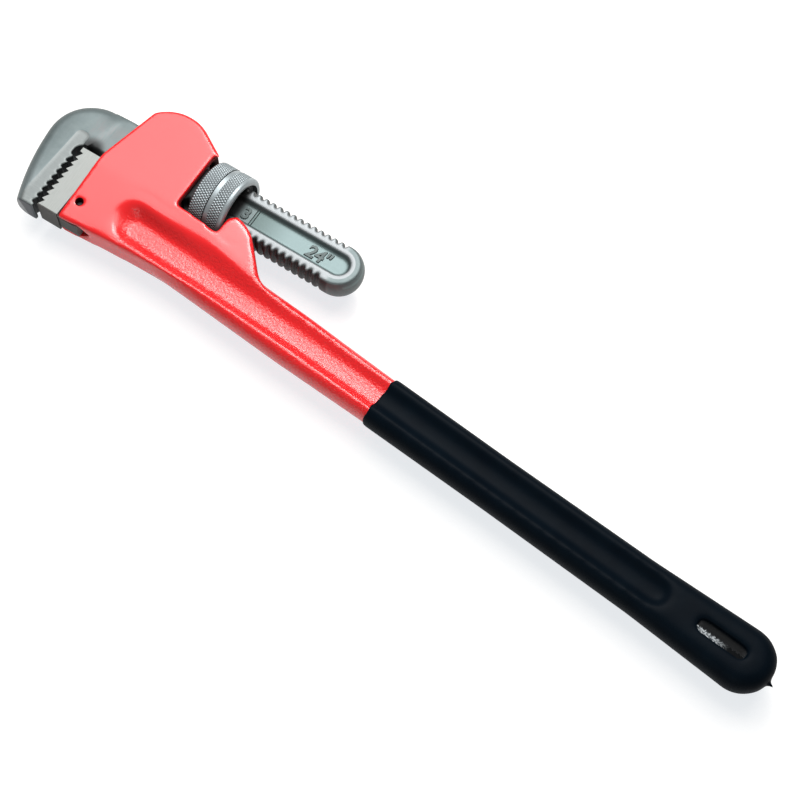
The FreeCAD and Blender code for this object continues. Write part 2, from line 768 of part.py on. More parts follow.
def thread_groove(turn_start, turn_end, tip_radius, base_radius, tip_half, base_half):
    """Groove of the thread as a swept solid along a right-hand helix about the X axis.

    turn_start and turn_end are in turns from the +Y side. The section is a trapezium from
    base_half wide at base_radius to tip_half wide at tip_radius, centred on X = 0 at turn 0.
    """
    pitch = size.thread_pitch.number
    height = pitch * (turn_end - turn_start)
    helix = Part.makeHelix(pitch, height, base_radius)
    section = Part.makePolygon([
        Vector(base_radius, 0, -base_half), Vector(base_radius, 0, base_half),
        Vector(tip_radius, 0, tip_half), Vector(tip_radius, 0, -tip_half),
        Vector(base_radius, 0, -base_half)])
    groove = Part.Wire(helix.Edges).makePipeShell([section], True, True)
    groove.rotate(Vector(), Vector(0, 0, 1), 360 * turn_start)
    groove.translate(Vector(0, 0, pitch * turn_start))
    onto_shank = Rotation(Vector(0, 1, 0), Vector(0, 0, 1), Vector(1, 0, 0), "ZXY")
    groove.Placement = Placement(Vector(), onto_shank) * groove.Placement
    groove.translate(Vector(size.thread_phase.number, 0, 0))
    return groove


def shank_thread_tool():
    """All the grooves of the shank's thread, on its two round edges."""
    radius, root = size.shank_radius.number, (size.shank_radius - size.thread_depth).number
    outside = radius + 0.4
    pitch, crest = size.thread_pitch.number, size.thread_crest.number
    root_half = size.thread_root.number / 2
    spread = ((pitch - crest) / 2 - root_half) / (radius - root)
    outer_half = root_half + spread * (outside - root)
    reach = math.asin(min(1.0, half_flat.number / root)) / (2 * math.pi) + 0.02
    grooves = []
    for side in (0.0, 0.5):
        groove = thread_groove(side - reach, side + reach, outside, root, outer_half, root_half)
        first = math.ceil((-size.thread_front.number) / pitch - side)
        last = math.floor(size.thread_back.number / pitch - side)
        for step in range(first, last + 1):
            copy = groove.copy()
            copy.translate(Vector(step * pitch, 0, 0))
            grooves.append(copy)
    return Part.makeCompound(grooves)


def cut_by(name, base, tool_shape):
    """base with a shaped cutter taken away, as a boolean of the document."""
    tool = document.addObject("Part::Feature", name + "_cutter")
    tool.Shape = tool_shape
    cut = document.addObject("Part::Cut", name)
    cut.Base = base
    cut.Tool = tool
    checked(cut)
    return cut


def make_hook_jaw():
    """Forged hook jaw: toothed hook, flat-sided shank and the rack thread along its two edges."""
    body = document.addObject("PartDesign::Body", "hook_blank")
    add_hook_head(body)
    add_shank(body)
    count = size.tooth_count - 1
    top = -size.hook_tip_drop + size.hook_tooth_land + size.tooth_pitch * count
    cut_teeth(body, "hook_teeth", -hook_front, top, count, -1)
    return cut_by("hook_jaw", body, shank_thread_tool())


# ---------------------------------------------------------------- adjusting nut

def make_adjusting_nut():
    """Adjusting nut: a turned barrel with a plain strip between its two grip bands."""
    body = document.addObject("PartDesign::Body", "adjusting_nut")
    bore = size.shank_radius - size.thread_depth + size.thread_clearance
    rim, strip = size.nut_radius, size.nut_radius - size.nut_strip_step
    recess = size.nut_back - size.nut_recess
    profile = new_sketch(body, "nut_profile", "XY_Plane")
    add_outline(profile, [
        (-size.nut_front, bore), (recess, bore), (recess, size.nut_recess_radius),
        (size.nut_back, size.nut_recess_radius), (size.nut_back, rim - size.nut_round), (size.nut_back - size.nut_ease, rim - size.nut_ease),
        (size.nut_back - size.nut_round, rim),
        (size.nut_strip_back, rim), (size.nut_strip_back, strip), (size.nut_strip_front, strip),
        (size.nut_strip_front, rim), (-size.nut_front + size.nut_chamfer, rim),
        (-size.nut_front, rim - size.nut_chamfer)])
    barrel = body.newObject("PartDesign::Revolution", "barrel")
    barrel.Profile = profile
    barrel.ReferenceAxis = (profile, ["H_Axis"])
    barrel.Angle = 360
    checked(barrel)
    cut_nut_thread(body, bore)
    return body


def cut_nut_thread(body, bore):
    """The nut's internal groove: the shank's crest, larger by the thread clearance all round."""
    pitch, clearance = size.thread_pitch, size.thread_clearance
    slope = (pitch - size.thread_root - size.thread_crest) / 2 / size.thread_depth
    inside, outside = bore - 0.6, size.shank_radius + clearance
    outer_half = size.thread_crest / 2 + clearance - slope * clearance
    inner_half = outer_half + slope * (outside - inside)
    start = size.thread_phase - pitch * 3.5
    groove = new_sketch(body, "groove_profile", "XY_Plane", (start, 0, 0))
    add_outline(groove, [(-inner_half, inside), (inner_half, inside),
                         (outer_half, outside), (-outer_half, outside)])
    thread = body.newObject("PartDesign::SubtractiveHelix", "thread")
    thread.Profile = groove
    thread.ReferenceAxis = (groove, ["H_Axis"])
    thread.Mode = "pitch-height-angle"
    thread.setExpression("Pitch", pitch.text)
    thread.setExpression("Height", (pitch * 8).text)
    checked(thread)


# ---------------------------------------------------------------- springs

def make_flat_spring():
    """Bowed leaf spring under the shank."""
    body = document.addObject("PartDesign::Body", "flat_spring")
    half = (size.flat_spring_front - size.flat_spring_back) / 2
    bow, gauge = size.flat_spring_bow, size.flat_spring_gauge
    arch = (half * half + bow * bow) / (bow * 2)
    strip = new_sketch(body, "strip_profile", "XY_Plane")
    low = -size.flat_spring_seat
    add_outline(strip, [
        (-size.flat_spring_back, low), (-size.flat_spring_back, low + gauge, arch),
        (-size.flat_spring_front, low + gauge), (-size.flat_spring_front, low, -arch)])
    extrude("Pad", strip, "strip", size.flat_spring_width)
    return body


def make_coil_spring():
    """Coil spring in its pocket, under the middle of the leaf spring."""
    top = -size.flat_spring_seat + size.flat_spring_bow - size.spring_gap - size.spring_wire / 2
    floor = -size.spring_pocket_floor + size.spring_wire / 2
    body = document.addObject("PartDesign::Body", "coil_spring")
    wire = new_sketch(body, "wire_section", "XY_Plane", (-size.spring_x, floor, 0))
    half, rise = size.spring_wire / 4, size.spring_wire * 0.433
    middle = size.spring_radius
    add_outline(wire, [
        (middle - half * 2, dim(0)), (middle - half, -rise), (middle + half, -rise),
        (middle + half * 2, dim(0)), (middle + half, rise), (middle - half, rise)])
    coil = body.newObject("PartDesign::AdditiveHelix", "coil")
    coil.Profile = wire
    coil.ReferenceAxis = (wire, ["V_Axis"])
    coil.Mode = "pitch-height-angle"
    coil.setExpression("Pitch", size.spring_pitch.text)
    coil.setExpression("Height", (top - floor).text)
    checked(coil)
    return body


# ---------------------------------------------------------------- assembly and export

def lay_down(pieces, movable):
    """Moves the whole wrench so that its box stands on the origin at its bottom centre."""
    box = FreeCAD.BoundBox()
    for piece in pieces:
        box.add(piece.Shape.optimalBoundingBox(False, False))
    shift = Vector(-box.Center.x, -box.Center.y, -box.ZMin)
    for item in movable:
        item.Placement = Placement(shift, Rotation()) * item.Placement
    document.recompute()


def main():
    casting = make_handle_casting()
    grip_blank = make_grip_blank()
    rest = [make_heel_jaw(), make_heel_pin(), make_hook_jaw(), make_adjusting_nut(),
            make_flat_spring(), make_coil_spring()]
    pieces = [casting, make_grip_sleeve(grip_blank, casting)] + rest
    lay_down(pieces, [casting, grip_blank] + rest)
    for item in document.Objects:
        if "Invalid" in item.State or "Error" in item.State:
            raise RuntimeError(f"{item.Name} is {item.State}")
    os.makedirs("parts", exist_ok=True)
    for piece in pieces:
        shape = piece.Shape
        if shape.isNull() or not shape.isValid() or len(shape.Solids) != 1:
            raise RuntimeError(f"{piece.Label} is not one valid solid")
        print(piece.Label, round(shape.Volume / 1000, 2), "cm3")
        shape.exportStep(f"parts/{piece.Label}.step")


main()
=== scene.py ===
"""Pipe wrench, 600 mm class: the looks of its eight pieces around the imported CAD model."""

import math

import bpy
import numpy as np
from mathutils import Matrix, Vector


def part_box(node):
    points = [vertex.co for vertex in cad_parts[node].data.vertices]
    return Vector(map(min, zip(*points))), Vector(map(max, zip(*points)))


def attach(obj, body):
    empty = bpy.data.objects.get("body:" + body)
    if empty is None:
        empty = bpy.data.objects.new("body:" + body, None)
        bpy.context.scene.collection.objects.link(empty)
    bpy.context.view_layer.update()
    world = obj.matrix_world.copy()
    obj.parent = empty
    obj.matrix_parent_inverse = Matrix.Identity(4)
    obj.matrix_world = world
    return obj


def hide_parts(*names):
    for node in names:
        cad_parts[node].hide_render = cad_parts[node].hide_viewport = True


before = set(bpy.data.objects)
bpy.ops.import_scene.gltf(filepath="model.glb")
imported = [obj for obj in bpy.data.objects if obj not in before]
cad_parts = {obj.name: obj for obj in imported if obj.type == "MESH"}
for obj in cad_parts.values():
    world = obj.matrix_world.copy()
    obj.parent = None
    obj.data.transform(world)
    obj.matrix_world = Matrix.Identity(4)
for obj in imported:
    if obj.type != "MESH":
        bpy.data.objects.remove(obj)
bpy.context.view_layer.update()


# ---- Table, lamps and camera ----
# The wrench lies flat on a white paper sheet in a pale room. A wide soft box hangs where every
# upward face mirrors it, with a small bright one a little higher, and a low strip lamp fills in
# from the sole's side.
def node_maker(tree):
    """The function that adds one shader node to a tree, with its settings and its inputs."""
    def node(kind, inputs=None, **settings):
        made = tree.nodes.new("ShaderNode" + kind)
        for key, value in settings.items():
            setattr(made, key, value)
        for key, value in (inputs or {}).items():
            if isinstance(value, bpy.types.NodeSocket):
                tree.links.new(value, made.inputs[key])
            else:
                made.inputs[key].default_value = value
        return made
    return node


def new_material(name):
    """An empty node material, and a function that adds one node to it.

    node(kind, inputs, **settings) links each input that is a socket and sets each other one.
    """
    material = bpy.data.materials.new(name)
    material.use_nodes = True
    material.node_tree.nodes.clear()
    return material, node_maker(material.node_tree)


def seen_directly(node, in_gloss=1.0):
    """1 for what is seen straight or through glass, in_gloss for what is mirrored, else 0."""
    path = node("LightPath").outputs
    seen = node("Math", {0: path["Is Glossy Ray"], 1: in_gloss}, operation="MULTIPLY").outputs[0]
    for straight in ("Is Camera Ray", "Is Transmission Ray"):
        seen = node("Math", {0: seen, 1: path[straight]}, operation="MAXIMUM").outputs[0]
    return seen


def add_object(name, data):
    """A new object at the origin, in the scene."""
    made = bpy.data.objects.new(name, data)
    bpy.context.scene.collection.objects.link(made)
    return made


def area_lamp(name, direction, distance, length, height, radiance, lift=0.0):
    """A rectangular soft box that faces the origin, its long side level with the wrench's.

    Its power is radiance times area times pi. lift moves it in its own plane, across its long
    side.
    """
    lamp = bpy.data.lights.new(name, "AREA")
    lamp.shape, lamp.size, lamp.size_y = "RECTANGLE", length, height
    lamp.energy = radiance * length * height * math.pi
    holder = add_object(name, lamp)
    back = Vector(direction).normalized()
    up = back.cross(Vector((1, 0, 0))).normalized()
    holder.rotation_euler = Matrix((up.cross(back), up, back)).transposed().to_euler()
    holder.location = back * distance + up * lift


sheet_half, sheet_drop = 6.0, 0.0004
paper_white, paper_shade = (0.95, 0.95, 0.94, 1), (0.33, 0.30, 0.27, 1)
paper_glow = (0.73, 0.76, 0.79, 1)
sheet_material, node = new_material("white_table_sheet")
paper = node("BsdfDiffuse", {"Color": paper_white})
dim_paper = node("BsdfDiffuse", {"Color": paper_shade})
glow = node("Emission", {"Color": paper_glow, "Strength": 1.0})
lifted = node("AddShader", {0: glow.outputs[0], 1: dim_paper.outputs[0]})
sheet = node("MixShader", {0: seen_directly(node), 1: paper.outputs[0], 2: lifted.outputs[0]})
node("OutputMaterial", {"Surface": sheet.outputs[0]})
table_mesh = bpy.data.meshes.new("table_sheet")
corners = [(-1, -1), (1, -1), (1, 1), (-1, 1)]
table_mesh.from_pydata([(sheet_half * x, sheet_half * y, -sheet_drop) for x, y in corners],
                       [], [(0, 1, 2, 3)])
table_mesh.materials.append(sheet_material)
add_object("table_sheet", table_mesh)

room_light, room_in_gloss = 0.14, 0.3
world = bpy.data.worlds.new("pale_room")
world.use_nodes = True
world.node_tree.nodes.clear()
bpy.context.scene.world = world
node = node_maker(world.node_tree)
strength = node("Mix", {0: seen_directly(node, room_in_gloss), 2: room_light, 3: 1.0})
room = node("Background", {"Color": (1, 1, 1, 1), "Strength": strength.outputs[0]})
node("OutputWorld", {"Surface": room.outputs[0]})

camera_heading, camera_raised = (-0.54156, 0.84067), math.radians(66.35)
camera_distance, camera_aim = 1.2178, (0.00926, -0.02058, 0.025)
lens_length, film_width = 85.185, 36
view_flat = math.cos(camera_raised)
view_direction = Vector((camera_heading[0] * view_flat, camera_heading[1] * view_flat,
                         -math.sin(camera_raised)))
camera_data = bpy.data.cameras.new("camera")
camera_data.lens = lens_length
camera_data.sensor_width = film_width
camera = add_object("camera", camera_data)
camera.location = Vector(camera_aim) - view_direction * camera_distance
camera.rotation_euler = view_direction.to_track_quat("-Z", "Y").to_euler()
bpy.context.scene.camera = camera
bpy.context.scene.view_settings.view_transform = "Standard"

mirrored = (view_direction[0], view_direction[1], -view_direction[2])
area_lamp("soft_box", mirrored, distance=1.25, length=1.55, height=0.98, radiance=5.4, lift=0.04)
area_lamp("small_box", mirrored, distance=1.2, length=0.42, height=0.36, radiance=19.0, lift=0.3)
area_lamp("near_fill", (0.25, -0.85, 0.48), distance=1.5, length=0.9, height=0.3, radiance=4.0)


# ---- Handle casting ----
# One long ductile-iron casting: the head, the collar round the shank, the nut's window with its
# horn, and the I-section bar. It is dipped in glossy red enamel, pebbly where the sand shows.
mm = 0.001
nut_front_reach = 9.4 * mm
nut_low, nut_high = (np.array(corner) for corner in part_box("adjusting_nut"))
axis = (nut_low + nut_high) / 2
axis[0] = nut_low[0] + nut_front_reach


def merged_copy(node_name, piece_name):
    """A new piece from a CAD node, its loose triangles joined where their corners meet."""
    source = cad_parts[node_name].data
    source.calc_loop_triangles()
    points = np.empty((len(source.vertices), 3), dtype=np.float32)
    source.vertices.foreach_get("co", points.ravel())
    triangles = np.empty((len(source.loop_triangles), 3), dtype=np.int32)
    source.loop_triangles.foreach_get("vertices", triangles.ravel())
    _, first, joined = np.unique(np.round(points, 6), axis=0, return_index=True,
                                 return_inverse=True)
    triangles = joined.ravel()[triangles]
    whole = (triangles != np.roll(triangles, 1, axis=1)).all(axis=1)
    mesh = bpy.data.meshes.new(piece_name)
    mesh.from_pydata(points[first].tolist(), [], triangles[whole].tolist())
    return add_object(piece_name, mesh)


def reskin(piece, voxel):
    """Give a piece an even skin of small squares in place of its long triangles."""
    skin = piece.modifiers.new("skin", "REMESH")
    skin.mode, skin.voxel_size, skin.use_smooth_shade = "VOXEL", voxel, True
    bpy.context.view_layer.update()
    graph = bpy.context.evaluated_depsgraph_get()
    mesh = bpy.data.meshes.new_from_object(piece.evaluated_get(graph))
    piece.modifiers.clear()
    piece.data = mesh


def points_of(piece):
    """A piece's points as an array, in mm from the nut's middle on the shank's axis.

    The columns run along the shank towards the grip, across it towards its back, and out of the
    wrench's middle plane.
    """
    points = np.empty((len(piece.data.vertices), 3), dtype=np.float32)
    piece.data.vertices.foreach_get("co", points.ravel())
    return (points - axis) / mm


def move_points(piece, points):
    """Put a piece's points where the array says, in mm from the nut's middle."""
    piece.data.vertices.foreach_set("co", (points * mm + axis).astype(np.float32).ravel())
    piece.data.update()


def soft_step(values, low, high):
    """0 below low, 1 above high, and a smooth cubic rise between."""
    share = np.clip((values - low) / (high - low), 0, 1)
    return share * share * (3 - 2 * share)


def relax(piece, share, rounds):
    """Soften a piece's edges, as paint, dip and a worn die do.

    Each round moves every point by its share of the way to the mean of its neighbours.
    """
    edges = np.empty((len(piece.data.edges), 2), dtype=np.int32)
    piece.data.edges.foreach_get("vertices", edges.ravel())
    start, end = np.concatenate([edges, edges[:, ::-1]]).T
    points = points_of(piece)
    count = np.bincount(start, minlength=len(points))
    share = np.broadcast_to(share, len(points))[:, None]
    for _ in range(rounds):
        mean = np.stack([np.bincount(start, column[end], len(points)) for column in points.T],
                        axis=1) / count[:, None]
        points = points + share * (mean - points)
    move_points(piece, points)


def above_bar_line(along, across):
    """How far a place lies above the bar's middle line, in mm.

    The line runs 50.3 mm below the shank's axis and drops by 0.0862 of the way along it.
    """
    return across + 50.3 + 0.0862 * along


def round_channel_end(piece):
    """Give the channel's head end the round bowl that the pattern maker cut there.

    A point's depth below the sloping face grows, as a smooth step, with its distance inside the
    bowl's outline: a half circle towards the jaws, and straight sides running towards the grip.
    Towards the grip the bowl fades into the plain channel. Sizes are in mm.
    """
    face_at_axis, face_slope, face_top, floor_height = 19.58, 0.1375, 15.4, 6.0
    bowl_start, bowl_radius, bowl_drop, bowl_turn = -33.5, 16.4, 3.5, 0.03
    end_stretch, low_side_squeeze, side_wall, end_wall = 0.93, 1.15, 10.5, 6.0
    old_corner_reach, web_inside, fade_start, fade_end = 8, 4.5, -25, 40
    points = points_of(piece)
    along, across, out = points.T
    face = np.minimum(face_at_axis + face_slope * across, face_top)
    ahead = end_stretch * np.maximum(bowl_start - along, 0)
    behind = np.maximum(along - bowl_start, 0)
    off_line = above_bar_line(along, across) + bowl_drop - bowl_turn * behind
    off_line = np.where(off_line < 0, low_side_squeeze, 1.0) * off_line
    reach = np.hypot(ahead, off_line)
    wall = side_wall + end_wall * ahead / np.maximum(reach, 1)
    sunk = (face - floor_height) * soft_step(bowl_radius - reach, 0, wall)
    wanted = np.sign(out) * (face - sunk)
    old_corner = (reach < bowl_radius + old_corner_reach) & (off_line > 0)
    near = (reach < bowl_radius) | old_corner
    share = (1 - soft_step(along, fade_start, fade_end)) * near * (np.abs(out) > web_inside)
    points[:, 2] += share * (wanted - out)
    move_points(piece, points)


def stand_in(piece, node_name, body, material):
    """Let a finished piece stand for a CAD node, on its body, with its material."""
    piece.data.materials.clear()
    piece.data.materials.append(material)
    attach(piece, body)
    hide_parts(node_name)


def shank_place(node):
    """Object coordinates measured from the nut's middle on the shank's axis: x, y and z."""
    moved = node("VectorMath", {0: node("TexCoord").outputs["Object"], 1: axis},
                 operation="SUBTRACT")
    return node("SeparateXYZ", {0: moved.outputs[0]}).outputs


def sums(node, operation, first, second=0.5):
    """One Math node: the operation on first and second."""
    return node("Math", {0: first, 1: second}, operation=operation).outputs[0]


def product(node, first, *others):
    """All the values multiplied together, which is where all the masks meet."""
    for other in others:
        first = sums(node, "MULTIPLY", first, other)
    return first


def either(node, first, *others):
    """The highest of the values, which is where any of the masks is."""
    for other in others:
        first = sums(node, "MAXIMUM", first, other)
    return first


def rise(node, value, low, high):
    """0 where value is below low, 1 above high, and smooth between."""
    return node("MapRange", {"Value": value, "From Min": low, "From Max": high},
                interpolation_type="SMOOTHSTEP").outputs["Result"]


def fall(node, value, low, high):
    """1 where value is below low, 0 above high, and smooth between."""
    return sums(node, "SUBTRACT", 1.0, rise(node, value, low, high))


def between(node, value, low, high, edge):
    """1 where value lies from low to high, falling to 0 over the given edge outside."""
    above = rise(node, value, low - edge, low)
    below = rise(node, value, high, high + edge)
    return sums(node, "SUBTRACT", above, below)


def step_length(node, first, second):
    """The length of a step of first one way and second across it: the root of their squares."""
    squares = sums(node, "ADD", product(node, first, first), product(node, second, second))
    return sums(node, "SQRT", squares)


def blend_colour(node, share, first, second):
    """first where share is 0 and second where it is 1."""
    mixed = node("Mix", {0: share, 6: first, 7: second}, data_type="RGBA")
    return mixed.outputs[2]


def grain(node, spacing, detail=2.0, rough=0.5):
    """Even noise whose lumps are about spacing apart."""
    return node("TexNoise", {"Vector": node("TexCoord").outputs["Object"], "Scale": 1 / spacing,
                             "Detail": detail, "Roughness": rough}).outputs["Fac"]


enamel_deep, enamel_light = (0.54, 0.006, 0.008, 1), (0.60, 0.010, 0.012, 1)
casting_shade_black, window_shade = (0.006, 0.003, 0.003, 1), (0.04, 0.001, 0.001, 1)
glossy, dulled_by = 0.22, 0.75
smooth_from, smooth_above, cast_from, cast_beyond = 11.6 * mm, 13.5 * mm, -46 * mm, -36 * mm
window_front, window_back, window_floor = -18.0 * mm, 17.9 * mm, -26 * mm
tunnel_front, tunnel_back = -69 * mm, -16 * mm
tunnel_reach, tunnel_height = 19 * mm, 10.6 * mm
pin_along, pin_across, pin_reach = -73.4 * mm, -55.6 * mm, 2.7 * mm
enamel, node = new_material("red_enamel")
x, y, z = shank_place(node)
height = sums(node, "ABSOLUTE", z)

# The bar and its channel stay as they left the sand; the head's faces are ground smooth.
cast = product(node, fall(node, height, smooth_from, smooth_above),
               rise(node, x, cast_from, cast_beyond))

# Painted shade: the window's depth, the shank's tunnel and the pin's hole are coloured near
# black, and dull.
in_window = product(node, between(node, x, window_front, window_back, 1.0 * mm),
                    rise(node, y, window_floor - 1.0 * mm, window_floor))
in_tunnel = product(node, between(node, y, -tunnel_reach, tunnel_reach, 0.5 * mm),
                    between(node, x, tunnel_front, tunnel_back, 0.5 * mm),
                    fall(node, height, tunnel_height, tunnel_height + 0.4 * mm))
off_pin = step_length(node, sums(node, "SUBTRACT", x, pin_along),
                      sums(node, "SUBTRACT", y, pin_across))
in_hole = fall(node, off_pin, pin_reach, pin_reach + 0.5 * mm)
window_depth = fall(node, height, 6 * mm, 14.2 * mm)
inside = either(node, product(node, in_window, window_depth), in_tunnel, in_hole)
unlit = either(node, product(node, in_window, fall(node, height, 14.4 * mm, 15.4 * mm)), inside)

# Enamel with a slow change of depth, pebbled by the sand and rippled where it ran.
paint = blend_colour(node, grain(node, 30 * mm, 3.0), enamel_deep, enamel_light)
# Painted shade: near black deep in the window, the tunnel and the hole, and darker red on the
# window's walls.
paint = blend_colour(node, inside, paint, casting_shade_black)
paint = blend_colour(node, product(node, unlit, 0.6), paint, window_shade)
pebbles = node("Bump", {"Height": grain(node, 1.9 * mm, 3.0, 0.6), "Strength": cast,
                        "Distance": 0.5 * mm})
flow = node("Bump", {"Height": grain(node, 9 * mm, 1.0), "Strength": 0.35,
                     "Distance": 0.25 * mm, "Normal": pebbles.outputs[0]})
gloss = sums(node, "ADD", glossy, product(node, unlit, dulled_by))
shader = node("BsdfPrincipled", {"Base Color": paint, "Roughness": gloss, "IOR": 1.5,
                                 "Metallic": inside, "Normal": flow.outputs[0]})
node("OutputMaterial", {"Surface": shader.outputs[0]})

casting = merged_copy("handle_casting", "red_casting")
reskin(casting, voxel=1.1 * mm)
relax(casting, share=0.5, rounds=6)
round_channel_end(casting)
along, across, _ = points_of(casting).T
off_middle = np.abs(above_bar_line(along, across))
in_channel = (1 - soft_step(off_middle, 20, 27)) * soft_step(along, -66, -52)
relax(casting, share=0.5 * in_channel, rounds=10)
stand_in(casting, "handle_casting", "handle", enamel)


# ---- Grip sleeve ----
# A black vinyl grip, made by dipping the bar's end, so it follows the bar's channel in a soft
# skin and ends in a small hardened drip. Its surface is satin with faint flow marks.
vinyl_dark, vinyl_light = (0.0006, 0.0018, 0.0036, 1), (0.0014, 0.0040, 0.0070, 1)
vinyl, node = new_material("black_vinyl_dip")
dip = blend_colour(node, grain(node, 14 * mm, 3.0), vinyl_dark, vinyl_light)
skin_grain = node("Bump", {"Height": grain(node, 1.6 * mm, 3.0, 0.6), "Strength": 0.25,
                           "Distance": 0.08 * mm})
flow = node("Bump", {"Height": grain(node, 16 * mm, 2.0), "Strength": 0.5,
                     "Distance": 0.7 * mm, "Normal": skin_grain.outputs[0]})
shader = node("BsdfPrincipled", {"Base Color": dip, "Roughness": 0.5, "IOR": 1.1,
                                 "Specular IOR Level": 0.5, "Normal": flow.outputs[0]})
node("OutputMaterial", {"Surface": shader.outputs[0]})

sleeve = merged_copy("grip_sleeve", "vinyl_grip")
reskin(sleeve, voxel=0.95 * mm)
at_drip = soft_step(points_of(sleeve)[:, 0], 462, 468)
relax(sleeve, share=0.5 * (1 - 0.85 * at_drip), rounds=36)
stand_in(sleeve, "grip_sleeve", "handle", vinyl)

film_dull, film_pale = (0.04, 0.045, 0.05, 1), (0.30, 0.32, 0.33, 1)
film_black = (0.003, 0.0035, 0.004, 1)
torn, node = new_material("torn_vinyl_edge")
x, _, _ = shank_place(node)
pale = blend_colour(node, rise(node, grain(node, 1.1 * mm, 3.0), 0.4, 0.6), film_dull, film_pale)
pale = blend_colour(node, rise(node, x, 429 * mm, 440 * mm), pale, film_black)
shader = node("BsdfPrincipled", {"Base Color": pale, "Roughness": 0.7, "IOR": 1.1})
node("OutputMaterial", {"Surface": shader.outputs[0]})


def strip_faces(rows, columns):
    """Quads between neighbouring rows of points, the last row joined to the first."""
    row = columns * np.arange(rows)[:, None]
    next_row = columns * ((np.arange(rows) + 1) % rows)[:, None]
    here = np.arange(columns - 1)
    return np.stack([row + here, row + here + 1, next_row + here + 1, next_row + here],
                    axis=-1).reshape(-1, 4)


def torn_film(name, start, end):
    """A ragged skin of vinyl left along the hang slot's lower edge, where the dip was cut.

    Its width is a mean width and three sines of the place along the slot, and it hangs down a
    little towards its free edge. Six rows of points go round its section: three on top from the
    slot's edge outwards, and the same three underneath on the way back.
    """
    slot_edge, film_height, sag, thickness, mean_width = 5.1, 11.5, 0.6, 0.25, 3.0
    along = np.linspace(start, end, 90)
    edge = -above_bar_line(along, 0) - slot_edge
    waves = [depth * np.sin(turn * along) for turn, depth in ((2.1, 0.4), (5.3, 0.3), (9.7, 0.2))]
    width = mean_width + sum(waves)
    rows = [np.stack([along, edge + share * width, film_height - sag * share + 0 * along], axis=1)
            for share in (0.0, 0.5, 1.0)]
    points = np.concatenate(rows + [row - [0, 0, thickness] for row in rows[::-1]])
    mesh = bpy.data.meshes.new(name)
    mesh.from_pydata((points * mm + axis).tolist(), [], strip_faces(6, len(along)).tolist())
    mesh.materials.append(torn)
    film = add_object(name, mesh)
    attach(film, "handle")


torn_film("torn_slot_edge", start=416.5, end=449.5)


# ---- Heel jaw and its pin ----
# The fixed lower jaw: a hardened toothed block that sits in the head's seat, ground bright on its
# flat sides, with one cross pin pressed through the casting to hold it.
def ease_edges(piece, width):
    """Break a machined piece's sharp edges by a small rounded bevel."""
    sharp = math.radians(32)
    bevel = piece.modifiers.new("eased_edges", "BEVEL")
    bevel.width, bevel.segments, bevel.limit_method = width, 2, "ANGLE"
    bevel.angle_limit = sharp
    bevel.harden_normals = True
    piece.data.polygons.foreach_set("use_smooth", np.ones(len(piece.data.polygons), dtype=bool))
    piece.data.set_sharp_from_angle(angle=sharp)


def scratches(node, direction, spacing, length):
    """Noise drawn out along one direction (0 for x, 1 for y), as a grinding wheel leaves it."""
    stretch = [1 / spacing] * 3
    stretch[direction] = 1 / length
    drawn = node("Mapping", {"Vector": node("TexCoord").outputs["Object"], "Scale": stretch})
    return node("TexNoise", {"Vector": drawn.outputs[0], "Scale": 1.0, "Detail": 4.0,
                             "Roughness": 0.6}).outputs["Fac"]


def refinish(node_name, material):
    """Give a CAD node's own mesh a finished material."""
    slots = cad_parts[node_name].data.materials
    slots.clear()
    slots.append(material)


ground_dark, ground_light = (0.175, 0.185, 0.177, 1), (0.285, 0.295, 0.282, 1)
heel_end_shade, tooth_gap_shade = (0.05, 0.048, 0.045, 1), (0.012, 0.014, 0.014, 1)
heel_sole, tooth_front, tooth_height = -70.65 * mm, -93.5 * mm, 9.2 * mm
ground_steel, node = new_material("ground_steel")
marks = scratches(node, 1, 0.35 * mm, 9 * mm)
x, y, z = shank_place(node)
height = sums(node, "ABSOLUTE", z)
above_sole = rise(node, y, heel_sole, heel_sole + 0.15 * mm)
teeth = product(node, fall(node, height, tooth_height, tooth_height + 0.4 * mm),
                fall(node, x, tooth_front, tooth_front + 1.0 * mm),
                rise(node, y, -71.3 * mm, -70.9 * mm))
bright = blend_colour(node, marks, ground_dark, ground_light)
# Painted shade: the heel's end, below its sole line, is coloured dark.
bright = blend_colour(node, above_sole, heel_end_shade, bright)
# Painted shade: the teeth's flanks, below the ground faces, are coloured near black.
bright = blend_colour(node, teeth, bright, tooth_gap_shade)
cut = node("Bump", {"Height": marks, "Strength": 0.3, "Distance": 0.05 * mm})
shader = node("BsdfPrincipled", {"Base Color": bright, "Metallic": 0.6, "Roughness": 0.62,
                                 "Normal": cut.outputs[0]})
node("OutputMaterial", {"Surface": shader.outputs[0]})
heel = merged_copy("heel_jaw", "toothed_heel")
ease_edges(heel, width=0.25 * mm)
stand_in(heel, "heel_jaw", "handle", ground_steel)

pin_blue, pin_worn = (0.012, 0.012, 0.014, 1), (0.035, 0.033, 0.033, 1)
pin_steel, node = new_material("blued_pin")
tarnish = blend_colour(node, grain(node, 0.8 * mm), pin_blue, pin_worn)
shader = node("BsdfPrincipled", {"Base Color": tarnish, "Metallic": 0.6, "Roughness": 0.5})
node("OutputMaterial", {"Surface": shader.outputs[0]})
refinish("heel_jaw_pin", pin_steel)


# ---- Springs ----
# A bowed leaf spring under the shank and a small coil under the leaf's middle, both of blued
# spring steel. They lie inside the collar, and let the hook rock before it bites.
spring_dark, spring_light = (0.03, 0.034, 0.045, 1), (0.075, 0.08, 0.095, 1)
spring_steel, node = new_material("blued_spring_steel")
blued = blend_colour(node, grain(node, 1.2 * mm, 3.0), spring_dark, spring_light)
shader = node("BsdfPrincipled", {"Base Color": blued, "Metallic": 0.9, "Roughness": 0.4})
node("OutputMaterial", {"Surface": shader.outputs[0]})
for spring in ("flat_spring", "coil_spring"):
    refinish(spring, spring_steel)
